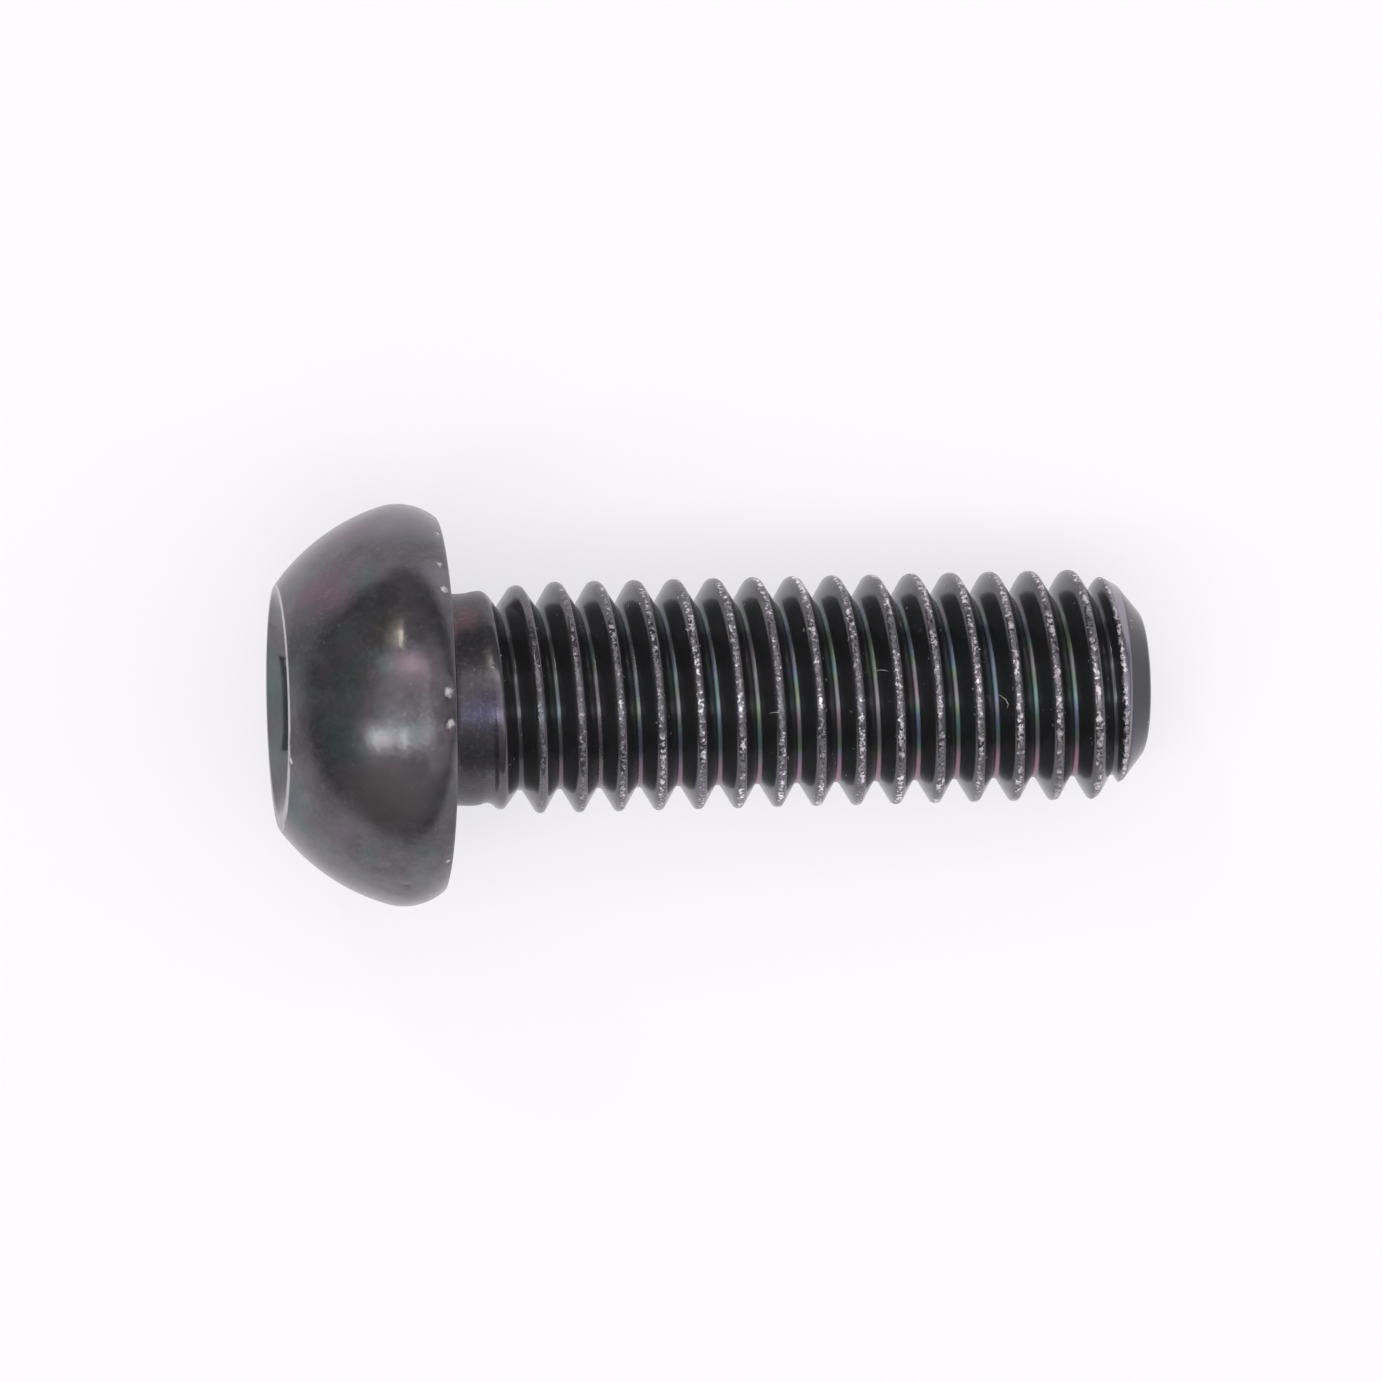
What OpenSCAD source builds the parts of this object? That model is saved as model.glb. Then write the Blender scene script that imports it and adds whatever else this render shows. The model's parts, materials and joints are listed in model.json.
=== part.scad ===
// Button-head hex-socket machine screw, M6 x 1, as it lies on a table.
// Millimetres. The origin is the centre of the bearing face under the head.
// The screw lies along X with its tip at +X, and dips towards the tip, since
// it rests on the head's rim and on the last crests of the thread.

/* [Head] */
// Widest diameter of the head
head_d = 10.06; // [9.6:0.02:10.8]
// Head height from the bearing face to the flat top
head_h = 4.02; // [3.4:0.02:4.4]
// Radius of the rounding from the dome to the underside
rim_round = 1.5; // [1.2:0.05:2]
// Height of the widest ring above the bearing face
rim_up = 0.94; // [0.7:0.02:1.1]
// How far the dome's centre lies past the bearing face
dome_drop = 0.2; // [0:0.02:0.3]
// Radius of the broken edge round the flat top
top_edge = 0.12; // [0.06:0.02:0.2]
// How far the head sits off the shank's axis, sideways as it lies
head_off = 0.1; // [0:0.02:0.2]

/* [Drive socket] */
// Hexagon size across its flats
hex_af = 4; // [3:0.1:4.2]
// Depth of the hexagon below the flat top
hex_depth = 2.3; // [1.8:0.1:2.4]
// How far the mouth's chamfer reaches past the hexagon's corners
mouth_over = 0.5; // [0.3:0.02:0.54]
// Full angle of the mouth's chamfer
mouth_angle = 104; // [90:2:120]
// Diameter of the drilled cone at the bottom
drill_d = 3.7; // [2:0.1:3.8]
// Depth of the drilled cone
drill_cone = 0.55; // [0.3:0.05:0.7]

/* [Neck] */
// Diameter of the plain neck under the head
neck_d = 5.3; // [5.1:0.02:5.4]
// Radius of the fillet between neck and bearing face
neck_fillet = 0.38; // [0.36:0.01:0.45]
// Length of plain neck before the crest starts to rise
neck_len = 0.55; // [0.5:0.05:1.5]

/* [Thread] */
// Pitch of the thread
pitch = 1; // [0.8:0.05:1.2]
// Major diameter over the crests
major_d = 5.8; // [5.7:0.02:5.9]
// Depth of the thread as a share of the pitch
depth_share = 0.6; // [0.5:0.01:0.62]
// Width of the crest's flat as a share of the pitch
crest_share = 0.19; // [0.12:0.01:0.24]
// Half width of the rounded root as a share of the pitch
root_share = 0.09; // [0.06:0.01:0.1]
// Length over which the crest grows to its full height
crest_fade = 2; // [1:0.1:3]
// How much later than the crest the groove starts
groove_late = 0.4; // [0:0.05:0.6]
// Length over which the groove reaches its full depth
root_fade = 0.6; // [0.5:0.05:2]
// Flat sides of the thread to one turn
turn_sides = 48; // [36:4:48]

/* [Tip] */
// Length from the bearing face to the end
screw_len = 17.8; // [15:0.02:18]
// Length over which the last crests shrink towards the chamfer
taper_len = 0.72; // [0.5:0.02:1]
// Slope of the shrinking crests against the axis
taper_angle = 29; // [24:0.5:34]
// Length of the smooth chamfer at the end
chamfer_len = 0.61; // [0.5:0.01:0.8]
// Slope of the chamfer against the axis
chamfer_angle = 51; // [45:0.5:55]
// Rounding between the chamfer and the end face
end_round = 0.4; // [0.1:0.05:0.5]

/* [Hidden] */
$fn = 180;
coat = "#2e2d31";
// head
head_r = head_d / 2;
rim_in = head_r - rim_round;
dome_r = rim_round + norm([rim_in, rim_up + dome_drop]);
dome_join = (rim_up + dome_drop) * dome_r / (dome_r - rim_round) - dome_drop;
edge_up = head_h - top_edge;
edge_in = sqrt(pow(dome_r - top_edge, 2) - pow(edge_up + dome_drop, 2));
edge_join = (edge_up + dome_drop) * dome_r / (dome_r - top_edge) - dome_drop;
// socket
hex_r = hex_af / 2 / cos(30);
mouth_r = hex_r + mouth_over;
mouth_in = 0.9 * hex_af / 2;
mouth_depth = (mouth_r - mouth_in) / tan(mouth_angle / 2);
// thread
neck_r = neck_d / 2;
crest_r = major_d / 2;
root_r = crest_r - depth_share * pitch;
flank = tan(30);
crest_half = crest_share * pitch / 2;
root_half = root_share * pitch;
root_side_r = crest_r - (pitch / 2 - root_half - crest_half) / flank;
step_in = 0.02;
bury = 0.1;
chamfer_at = screw_len - chamfer_len;
chamfer_slope = tan(chamfer_angle);
taper_at = chamfer_at - taper_len;
taper_slope = tan(taper_angle);
chamfer_r = crest_r - taper_len * taper_slope;
tip_at = chamfer_at + (chamfer_r - root_r) / chamfer_slope;
run_in = neck_len;
groove_from = run_in + groove_late;
thread_from = run_in - bury;
thread_to = tip_at + bury / 2;
// how it lies: the head's rim and two crests touch the table, the last full
// one and the first that the taper has cut
crest_gap = pitch - 2 * crest_half;
touch_r = crest_r * cos(180 / turn_sides);
near_touch = taper_at + crest_gap * (tan(lie_angle(taper_at - crest_gap)) / taper_slope - 1);
far_touch = near_touch + crest_gap;
lie_tilt = lie_angle(near_touch);
touch_angle = 270;
snap = 0.2 * pitch / turn_sides;
// heights of the five rows of one turn, from the crest's near edge
rows = [0, 2 * crest_half, crest_half + pitch / 2 - root_half,
        crest_half + pitch / 2, crest_half + pitch / 2 + root_half];
row_count = len(rows);
turns_before = ceil((far_touch - thread_from) / pitch) + 2;
row_start = far_touch - pitch * turns_before - pitch * touch_angle / 360;
turn_count = turns_before + 4;
last_row = row_count * turn_count;

// Angle at which the screw lies with the head's rim and a crest at height z
// on the table.
function lie_angle(z) =
    let (long = rim_up + z, drop = rim_in - touch_r)
    atan2(drop, long) + asin(rim_round / norm([long, drop]));

// A straight and a smooth step from 0 to 1.
function ramp(t) = min(max(t, 0), 1);
function ease(t) = let (c = ramp(t)) c * c * (3 - 2 * c);

// Largest radius of the thread at height z, from its taper and its chamfer.
function cone_r(z) =
    crest_r - max(z - taper_at, 0) * taper_slope
    - max(z - chamfer_at, 0) * (chamfer_slope - taper_slope);

// Radius at a share of the way from the neck to r.
function grow(r, share) = neck_r - step_in + (r - neck_r + step_in) * share;

// Radius of row k at height z.
function row_r(k, z) =
    min(cone_r(z),
        k < 2 ? grow(crest_r, ramp((z - run_in) / crest_fade))
              : grow(k == 3 ? root_r : root_side_r, ease((z - groove_from) / root_fade)));

// Height of row j on side i, before its ends are cut.
function row_z(i, j) =
    row_start + pitch * (floor(j / row_count) + (i + 0.5) / turn_sides) + rows[j % row_count];

// First and last rows of side i that are drawn.
function first_row(i) =
    len([for (j = [0:last_row]) if (row_z(i, j) <= thread_from + snap) 1]) - 1;
function end_row(i) =
    last_row + 1 - len([for (j = [0:last_row]) if (row_z(i, j) >= thread_to - snap) 1]);

// Point of row j on side i.
function thread_point(i, j) =
    let (z = min(max(row_z(i, j), thread_from), thread_to),
         h = row_z(i, j) <= thread_from + snap ? thread_from
             : row_z(i, j) >= thread_to - snap ? thread_to : z,
         r = h == thread_from ? neck_r - step_in
             : h == thread_to ? cone_r(thread_to) : row_r(j % row_count, h),
         a = 360 * (i + 0.5) / turn_sides)
    [r * cos(a), r * sin(a), h];

// The rolled thread, as one closed surface that follows the helix.
module thread() {
    firsts = [for (i = [0:turn_sides - 1]) first_row(i)];
    ends = [for (i = [0:turn_sides - 1]) end_row(i)];
    across = last_row + 1;
    points = [for (i = [0:turn_sides - 1], j = [0:last_row]) thread_point(i, j)];
    sides = [
        for (i = [0:turn_sides - 1], j = [0:last_row - 1])
            let (n = (i + 1) % turn_sides,
                 m = i + 1 == turn_sides ? j + row_count : j,
                 a = i * across + min(max(j, firsts[i]), ends[i]),
                 d = i * across + min(max(j + 1, firsts[i]), ends[i]),
                 b = n * across + min(max(m, firsts[n]), ends[n]),
                 c = n * across + min(max(m + 1, firsts[n]), ends[n]))
            each [if (a != d) [a, d, c], if (b != c) [a, c, b]]
    ];
    near_end = [for (i = [0:turn_sides - 1]) i * across + firsts[i]];
    far_end = [for (i = [turn_sides - 1:-1:0]) i * across + ends[i]];
    polyhedron(points = points, faces = concat(sides, [near_end, far_end]));
}

// A box of the half section, from radius r0 to r1 and height z0 to z1.
module span(r0, r1, z0, z1) {
    translate([r0, z0]) square([r1 - r0, z1 - z0]);
}

// Half section of the head: flat top, dome, rounded rim, flat underside.
module head_section() {
    // dome
    intersection() {
        translate([0, dome_drop]) circle(dome_r);
        span(0, head_d, -edge_join, -dome_join);
    }
    // rounded rim
    intersection() {
        translate([rim_in, -rim_up]) circle(rim_round);
        span(0, head_d, -head_h, 0);
    }
    // broken edge of the flat top
    intersection() {
        translate([edge_in, -edge_up]) circle(top_edge);
        span(0, head_d, -head_h, 0);
    }
    span(0, rim_in, -(rim_up + rim_round) / 2, 0);
    span(0, edge_in, -head_h, -dome_join);
}

// Half section of the neck, with its fillet into the bearing face.
module neck_section() {
    span(0, neck_r, -bury, run_in);
    difference() {
        span(neck_r - bury, neck_r + neck_fillet, -bury, neck_fillet);
        translate([neck_r + neck_fillet, neck_fillet]) circle(neck_fillet);
    }
}

module head() {
    rotate_extrude() head_section();
}

module neck() {
    rotate_extrude() neck_section();
}

// The hexagon socket, its chamfered mouth and its drilled bottom.
module drive_socket() {
    translate([0, 0, -head_h]) {
        translate([0, 0, -1]) linear_extrude(hex_depth + 1) circle(hex_r, $fn = 6);
        translate([0, 0, hex_depth - 0.01]) cylinder(h = drill_cone, d1 = drill_d, d2 = 0);
        cylinder(h = mouth_depth, r1 = mouth_r, r2 = mouth_in);
    }
}

// Half section of the plain end, past the last groove.
module tip_section() {
    tip_r = root_r + step_in;
    // corner where the chamfer would meet the end face
    corner_r = tip_r - (screw_len - tip_at) * chamfer_slope;
    back = end_round * tan((90 - chamfer_angle) / 2);
    difference() {
        polygon([[0, tip_at], [tip_r, tip_at], [corner_r, screw_len], [0, screw_len]]);
        polygon([[corner_r - back, screw_len + 1], [corner_r - back, screw_len],
                 [corner_r - back, screw_len - end_round],
                 [corner_r + back * sin(chamfer_angle), screw_len - back * cos(chamfer_angle)],
                 [corner_r + 2, screw_len - back * cos(chamfer_angle)], [corner_r + 2, screw_len + 1]]);
    }
    intersection() {
        translate([corner_r - back, screw_len - end_round]) circle(end_round);
        span(0, crest_r, tip_at, screw_len);
    }
}

module tip() {
    rotate_extrude() tip_section();
}

module screw() {
    color(coat)
        rotate([0, lie_tilt, 0]) rotate([90, 0, 90]) {
            difference() {
                translate([-head_off, 0, 0]) head();
                drive_socket();
            }
            neck();
            thread();
            tip();
        }
}

screw();
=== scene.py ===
"""A button-head machine screw in worn black oxide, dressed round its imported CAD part."""
import json
import math

import bmesh
import bpy
from bpy.props import FloatProperty, FloatVectorProperty, IntProperty, PointerProperty
from mathutils import Matrix, Vector


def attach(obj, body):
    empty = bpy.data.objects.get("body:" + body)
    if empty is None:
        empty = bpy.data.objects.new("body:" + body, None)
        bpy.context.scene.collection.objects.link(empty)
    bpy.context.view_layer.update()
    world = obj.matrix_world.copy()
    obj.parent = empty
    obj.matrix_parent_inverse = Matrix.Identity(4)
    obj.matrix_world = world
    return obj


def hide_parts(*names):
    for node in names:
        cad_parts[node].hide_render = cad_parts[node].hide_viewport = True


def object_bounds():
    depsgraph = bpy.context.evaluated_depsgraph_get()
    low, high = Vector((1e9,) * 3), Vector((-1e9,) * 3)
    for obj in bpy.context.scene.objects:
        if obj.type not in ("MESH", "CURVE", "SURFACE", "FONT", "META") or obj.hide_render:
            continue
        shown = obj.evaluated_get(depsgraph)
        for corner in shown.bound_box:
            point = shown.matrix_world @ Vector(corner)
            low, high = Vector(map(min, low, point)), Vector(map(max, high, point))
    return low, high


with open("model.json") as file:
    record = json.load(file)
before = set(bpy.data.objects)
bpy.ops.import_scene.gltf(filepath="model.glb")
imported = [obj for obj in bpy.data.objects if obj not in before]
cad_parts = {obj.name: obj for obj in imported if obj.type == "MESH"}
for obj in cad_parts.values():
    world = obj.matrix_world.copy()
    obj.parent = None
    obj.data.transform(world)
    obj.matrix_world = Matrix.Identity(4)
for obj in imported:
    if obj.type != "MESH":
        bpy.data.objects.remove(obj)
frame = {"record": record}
cad_box = [list(corner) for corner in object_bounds()]

bl_info = {
    "name": "Button-head screw",
    "version": (1, 0, 0),
    "blender": (4, 5, 0),
    "location": "3D View > Sidebar > Screw",
    "description": "Builds a button-head machine screw in worn black oxide, with its stage",
    "category": "Add Mesh",
}

MM = 0.001
BODY = "root"
NODE = "screw"
# the shank's axis as it lies, from the mount under the head
SHANK_AXIS = next(m["axis"] for m in frame["record"]["mounts"] if m["name"] == "bearing_face")
LIE_TILT = math.atan2(-SHANK_AXIS[2], SHANK_AXIS[0])
SEED = 7  # picks the wear of the crests
MERGE = 2e-7  # metres between points of the rolled grid that are one
SEAM = 3e-7  # metres between points of neighbouring forms that are one
OFF_THREAD = 1.0  # the crest_drop of all points that aren't on the thread
DENTS_UNTIL = 0.5  # mm along X, just past the head


def metres(*values):
    """Millimetres as metres."""
    return tuple(v * MM for v in values)


def length(name, text, mm):
    """A length property, given in millimetres and kept in metres."""
    return FloatProperty(name=name, description=text, default=mm * MM, unit="LENGTH",
                         subtype="DISTANCE", precision=6)


def colour(name, text, rgb):
    return FloatVectorProperty(name=name, description=text, default=rgb, subtype="COLOR",
                               size=3, min=0, max=1)


class HeadSettings(bpy.types.PropertyGroup):
    """Sizes of the button head and its hexagon socket."""
    diameter: length("Diameter", "Widest diameter of the head", 10.06)
    height: length("Height", "From the bearing face to the flat top", 4.02)
    rim_round: length("Rim rounding", "Radius from the dome to the underside", 1.5)
    rim_up: length("Rim height", "Height of the widest ring over the bearing face", 0.94)
    dome_drop: length("Dome centre", "How far the dome's centre lies past the bearing face", 0.2)
    top_edge: length("Top edge", "Radius of the broken edge round the flat top", 0.12)
    off_axis: length("Off axis", "How far the head sits off the shank's axis", 0.1)
    hex_flats: length("Key size", "Hexagon size across its flats", 4.0)
    hex_depth: length("Socket depth", "Depth of the hexagon below the flat top", 2.3)
    mouth_over: length("Mouth", "How far the mouth reaches past the hexagon's corners", 0.5)
    mouth_angle: FloatProperty(name="Mouth angle", description="Full angle of the mouth's chamfer",
                               default=math.radians(104), subtype="ANGLE")
    drill_d: length("Drill diameter", "Diameter of the drilled bottom", 3.7)
    drill_cone: length("Drill cone", "Depth of the drilled cone", 0.55)


class ThreadSettings(bpy.types.PropertyGroup):
    """Sizes of the neck, the rolled thread and the tip."""
    pitch: length("Pitch", "Pitch of the thread", 1.0)
    crest_r: length("Crest radius", "Radius over the crests", 2.9)
    depth: length("Depth", "Depth of the groove", 0.6)
    crest_half: length("Half crest", "Half the width of the crest", 0.095)
    crown: length("Crest crown", "How much lower the crest's edges are than its middle", 0.02)
    neck_r: length("Neck radius", "Radius of the plain neck", 2.65)
    neck_fillet: length("Neck fillet", "Radius between neck and bearing face", 0.38)
    run_in: length("Run in", "Where the crest starts to rise", 0.55)
    crest_fade: length("Crest fade", "Length over which the crest rises", 2.0)
    groove_from: length("Groove start", "Where the groove starts", 0.95)
    root_fade: length("Root fade", "Length over which the groove deepens", 0.6)
    crest_at: length("Crest place", "Height of a crest on the +Y side", 17.004)
    taper_at: length("Taper start", "Where the last crests start to shrink", 16.47)
    taper_slope: FloatProperty(name="Taper slope", description="Slope of the shrinking crests",
                               default=math.tan(math.radians(29)))
    chamfer_at: length("Chamfer start", "Where the smooth chamfer starts", 17.19)
    chamfer_slope: FloatProperty(name="Chamfer slope", description="Slope of the chamfer",
                                 default=math.tan(math.radians(51)))
    end_at: length("End", "Length from the bearing face to the end", 17.8)
    end_round: length("End rounding", "Rounding between the chamfer and the end", 0.4)
    wear: length("Crest wear", "How rough the crests are", 0.016)
    columns: IntProperty(name="Columns", description="Columns round one turn", default=192)
    rows: IntProperty(name="Rows", description="Rows in one pitch", default=20)


class FinishSettings(bpy.types.PropertyGroup):
    """Colours of the worn black oxide."""
    oxide: colour("Oxide", "The coating", (0.108, 0.102, 0.11))
    oxide_light: colour("Light oxide", "The coating where it is thin", (0.185, 0.175, 0.192))
    smoke: colour("Smoke", "The coating where it is thick", (0.075, 0.072, 0.074))
    magenta: colour("Magenta tint", "Reddish clouds in the coating", (0.165, 0.115, 0.15))
    teal: colour("Teal tint", "Greenish clouds in the coating", (0.105, 0.15, 0.142))
    # painted shade in the grooves: the flanks and roots are painted this darker colour
    flank: colour("Flank", "The coating on the flanks", (0.07, 0.074, 0.074))
    root_rose: colour("Root rose", "Film down in the groove along the near side", (0.4, 0.17, 0.25))
    root_pink: colour("Root pink", "First hue of the film down in the groove", (0.27, 0.185, 0.2))
    root_grey: colour("Root grey", "Second hue of that film, and its last", (0.21, 0.203, 0.225))
    root_green: colour("Root green", "Third hue of that film", (0.18, 0.235, 0.155))
    root_teal: colour("Root teal", "Fourth hue of that film", (0.145, 0.25, 0.25))
    root_blue: colour("Root blue", "Fifth hue of that film", (0.16, 0.19, 0.28))
    lint: colour("Lint", "Fibres caught in the thread", (0.62, 0.6, 0.58))
    taper: colour("Taper", "The coating rubbed on the last crests", (0.3, 0.29, 0.33))
    # the chamfer is painted darker than the flanks
    chamfer: colour("Chamfer", "The coating on the tip", (0.05, 0.05, 0.057))
    crest_dark: colour("Dark crest", "Worn crest, lowest spots", (0.22, 0.215, 0.23))
    crest_light: colour("Light crest", "Worn crest, bare metal", (0.95, 0.93, 0.95))
    crest_warm: colour("Warm crest", "Worn crest near the tip", (0.6, 0.5, 0.52))
    dust: colour("Dust", "Specks of metal and dust", (0.8, 0.79, 0.78))
    # also the colour of the light line painted round the flat top's edge
    chip: colour("Chip", "Bare metal in chips and along the top edge", (0.7, 0.68, 0.7))


class StageSettings(bpy.types.PropertyGroup):
    """Camera, lamps and floor."""
    camera_over: length("Camera height", "Distance to the plane it is focused on", 300)
    camera_plane: length("Plane", "Height of that plane", -1.1)
    camera_x: length("Camera X", "Place of the camera along the screw", 6.34)
    camera_y: length("Camera Y", "Place of the camera across the screw", 0.075)
    camera_turn: FloatProperty(name="Turn", description="Turn of the camera in its own plane",
                               default=math.radians(1.4), subtype="ANGLE")
    pixels_per_mm: FloatProperty(name="Scale", description="Pixels to the millimetre there",
                                 default=39.856)
    floor_colour: colour("Floor", "Colour of the floor", (0.96, 0.945, 1.0))
    floor_white: colour("Floor's own white", "Colour of the floor's glow", (0.99, 0.98, 1.0))
    floor_glow: FloatProperty(name="Floor glow", default=0.66, min=0, max=1, subtype="FACTOR",
                              description="How much of the floor's white is its own")
    walls: FloatProperty(name="Walls", description="Brightness of the room's walls", default=0.07)
    ceiling: FloatProperty(name="Ceiling", description="Brightness of its ceiling", default=0.46)


SETTINGS = {
    "screw_head": HeadSettings,
    "screw_thread": ThreadSettings,
    "screw_finish": FinishSettings,
    "screw_stage": StageSettings,
}


# Node trees

class Sums:
    """Adds math nodes to a tree, so that a sum reads as a sum."""

    def __init__(self, tree):
        self.tree = tree

    def node(self, kind, **values):
        made = self.tree.nodes.new(kind)
        for key, value in values.items():
            setattr(made, key, value)
        return made

    def plug(self, socket, value):
        if isinstance(value, bpy.types.NodeSocket):
            self.tree.links.new(value, socket)
        else:
            socket.default_value = value

    def do(self, operation, *values):
        made = self.node("ShaderNodeMath", operation=operation)
        for socket, value in zip(made.inputs, values):
            self.plug(socket, value)
        return made.outputs[0]

    def add(self, a, b):
        return self.do("ADD", a, b)

    def take(self, a, b):
        return self.do("SUBTRACT", a, b)

    def times(self, a, b):
        return self.do("MULTIPLY", a, b)

    def over(self, a, b):
        return self.do("DIVIDE", a, b)

    def ramp(self, a, low, high):
        """0 at low, 1 at high, straight between them; low may be the larger."""
        return self.map_range("LINEAR", a, low, high)

    def smooth(self, a, low, high):
        """0 at low, 1 at high, with soft ends; low may be the larger."""
        return self.map_range("SMOOTHSTEP", a, low, high)

    def map_range(self, way, a, low, high):
        made = self.node("ShaderNodeMapRange", interpolation_type=way, clamp=True)
        for socket, value in zip(made.inputs, (a, low, high, 0.0, 1.0)):
            self.plug(socket, value)
        return made.outputs[0]

    def noise(self, vector, scale, detail, rough, **more):
        made = self.node("ShaderNodeTexNoise", **more)
        self.plug(made.inputs["Vector"], vector)
        self.plug(made.inputs["Scale"], scale)
        self.plug(made.inputs["Detail"], detail)
        self.plug(made.inputs["Roughness"], rough)
        return made.outputs[0]


def fresh_group(name):
    old = bpy.data.node_groups.get(name)
    if old:
        bpy.data.node_groups.remove(old)
    return bpy.data.node_groups.new(name, "GeometryNodeTree")


# the thread tree's inputs, with the setting that each takes, and its whole numbers
INPUTS = {
    "Pitch": "pitch", "Crest Radius": "crest_r", "Depth": "depth", "Half Crest": "crest_half",
    "Crown": "crown", "Neck Radius": "neck_r", "Run In": "run_in", "Crest Fade": "crest_fade",
    "Groove Start": "groove_from", "Root Fade": "root_fade", "Crest Place": "crest_at",
    "Taper Start": "taper_at", "Taper Slope": "taper_slope", "Chamfer Start": "chamfer_at",
    "Chamfer Slope": "chamfer_slope", "Wear": "wear",
}
COUNTS = ("Columns", "Rows", "Turns", "Seed")
# the wear of the crests
BUMPS_PER_M = 5200.0
SEED_STEP = 0.37  # between seeds, along the noise's fourth axis
WORN_DOWN_TO = (0.09, 0.02)  # mm below the crest: where the wear is none, and full
WORN_FROM = (1.2, 2.8)  # mm along the shank: where it is none, and full
WORN_UNTIL = (0.0, 0.2)  # mm before the thread's end: likewise


def thread_tree(material):
    """A tree that rolls the thread: a grid that follows the helix, cut level at both ends."""
    tree = fresh_group("rolled_thread")
    face = tree.interface
    face.new_socket("Geometry", in_out="OUTPUT", socket_type="NodeSocketGeometry")
    for name in INPUTS:
        face.new_socket(name, in_out="INPUT", socket_type="NodeSocketFloat")
    for name in COUNTS:
        face.new_socket(name, in_out="INPUT", socket_type="NodeSocketInt")
    sums = Sums(tree)
    given = sums.node("NodeGroupInput").outputs
    do, add, take, times, over = sums.do, sums.add, sums.take, sums.times, sums.over
    pitch, crest_r, depth = given["Pitch"], given["Crest Radius"], given["Depth"]

    # grid of one column more than the turn has, and of all rows of all turns
    grid = sums.node("GeometryNodeMeshGrid")
    grid.inputs["Size X"].default_value = 1.0
    grid.inputs["Size Y"].default_value = 1.0
    all_rows = times(given["Rows"], given["Turns"])
    sums.plug(grid.inputs["Vertices X"], add(given["Columns"], 1))
    sums.plug(grid.inputs["Vertices Y"], add(all_rows, 1))
    place = sums.node("ShaderNodeSeparateXYZ")
    sums.plug(place.inputs[0], sums.node("GeometryNodeInputPosition").outputs[0])
    turn_share = add(place.outputs[0], 0.5)
    row = do("ROUND", times(add(place.outputs[1], 0.5), all_rows))

    # rows lie closer together at crest and root than on the flanks, by this share
    crowding = 0.6
    phase = over(row, given["Rows"])
    packed = take(phase, times(do("SINE", times(phase, 4 * math.pi)), crowding / (4 * math.pi)))
    first = take(given["Crest Place"], times(pitch, take(given["Turns"], 2)))
    raw = add(first, times(pitch, add(packed, turn_share)))
    last = add(given["Chamfer Start"], over(
        take(take(crest_r, times(take(given["Chamfer Start"], given["Taper Start"]),
                                 given["Taper Slope"])), take(crest_r, depth)),
        given["Chamfer Slope"]))
    z = do("MINIMUM", do("MAXIMUM", raw, given["Run In"]), last)

    # distance from the middle of the nearest crest, and how deep the groove is there; whole
    # turns are added, so that the share is taken of a number over 0
    spare_turns = 64
    share = do("FRACT", add(take(over(take(z, given["Crest Place"]), pitch), turn_share),
                            spare_turns + 0.5))
    away = times(do("ABSOLUTE", take(share, 0.5)), pitch)
    steep = math.tan(math.radians(60))
    flank = times(take(away, given["Half Crest"]), steep)
    from_root = take(times(pitch, 0.5), away)
    # a bottom of the fourth power, which meets both flanks in one line
    power = 4.0
    half_root = over(take(times(take(times(pitch, 0.5), given["Half Crest"]), steep), depth),
                     (1 - 1 / power) * steep)
    share_root = do("POWER", over(from_root, half_root), power)
    bottom = take(depth, times(times(half_root, steep / power), share_root))
    in_root = do("LESS_THAN", from_root, half_root)
    cut = add(times(in_root, bottom), times(take(1.0, in_root), flank))
    crown = do("POWER", do("MINIMUM", over(away, given["Half Crest"]), 1.0), 2.0)
    fall = do("MINIMUM", over(take(depth, cut), depth), 1.0)
    cut = add(do("MAXIMUM", cut, 0.0), times(times(crown, fall), given["Crown"]))
    cut = do("MINIMUM", cut, depth)
    depth_share = over(cut, depth)

    # how far crest and groove have grown out of the neck
    neck_r = given["Neck Radius"]
    crest_here = add(neck_r, times(take(crest_r, neck_r), do(
        "MINIMUM", over(take(z, given["Run In"]), given["Crest Fade"]), 1.0)))
    deepening = sums.smooth(over(take(z, given["Groove Start"]), given["Root Fade"]), 0.0, 1.0)
    root_here = add(neck_r, times(take(take(crest_r, depth), neck_r), deepening))
    radius = take(crest_here, times(take(crest_here, root_here), depth_share))
    taper = times(do("MAXIMUM", take(z, given["Taper Start"]), 0.0), given["Taper Slope"])
    chamfer = times(do("MAXIMUM", take(z, given["Chamfer Start"]), 0.0),
                    take(given["Chamfer Slope"], given["Taper Slope"]))
    cone = take(take(crest_r, taper), chamfer)
    drop = take(do("MINIMUM", crest_here, cone), radius)
    radius = do("MINIMUM", radius, cone)

    # wear: the crests are pushed in, unevenly, and never out
    angle = times(turn_share, math.tau)

    def place_at(r):
        made = sums.node("ShaderNodeCombineXYZ")
        for socket, value in zip(made.inputs, (
                times(r, do("COSINE", angle)), times(r, do("SINE", angle)), z)):
            sums.plug(socket, value)
        return made.outputs[0]

    bumps = sums.noise(place_at(radius), BUMPS_PER_M, 3.0, 0.6, noise_dimensions="4D")
    sums.plug(bumps.node.inputs["W"], times(given["Seed"], SEED_STEP))
    on_crest = sums.ramp(do("ABSOLUTE", drop), *metres(*WORN_DOWN_TO))
    off_ends = times(sums.ramp(z, *metres(*WORN_FROM)),
                     sums.ramp(take(last, z), *metres(*WORN_UNTIL)))
    push = times(times(times(bumps, given["Wear"]), on_crest), off_ends)
    keep = sums.node("GeometryNodeStoreNamedAttribute", data_type="FLOAT", domain="POINT")
    sums.plug(keep.inputs["Geometry"], grid.outputs["Mesh"])
    keep.inputs["Name"].default_value = "crest_drop"
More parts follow.
